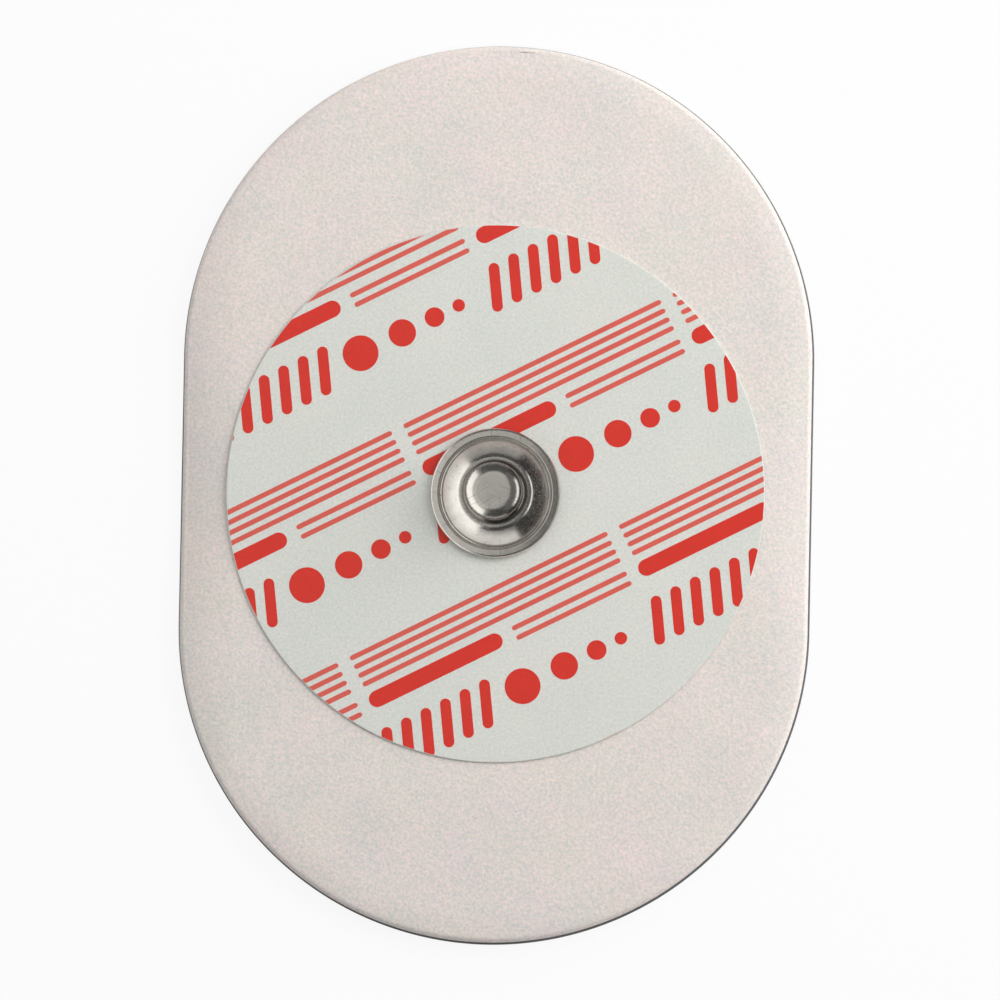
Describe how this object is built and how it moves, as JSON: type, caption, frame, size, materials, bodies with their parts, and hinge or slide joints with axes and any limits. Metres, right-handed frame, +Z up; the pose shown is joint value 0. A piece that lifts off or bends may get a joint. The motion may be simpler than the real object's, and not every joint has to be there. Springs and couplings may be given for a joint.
{
  "type": "ecg electrode",
  "caption": "Disposable foam ECG electrode with half-round ends, a round film label, a metal snap stud, a gel well and a clear release liner.",
  "frame": {"origin": "centre of the release liner's underside", "axes": "+Z up through the snap stud, +Y along the long side of the pad"},
  "size_m": [0.0422, 0.0602, 0.0053],
  "materials": {
    "liner_film": "clear polyester film",
    "foam_tape": "closed-cell foam",
    "hydrogel": "wet gel",
    "silver_chloride": "silver chloride coating",
    "label_film": "satin printed film",
    "nickel_plate": "nickel plate"
  },
  "bodies": {
    "root": {"release_liner": "liner_film", "foam_pad": "foam_tape", "gel_pad": "hydrogel", "sensor_eyelet": "silver_chloride", "label_film": "label_film", "snap_stud": "nickel_plate"}
  },
  "joints": []
}
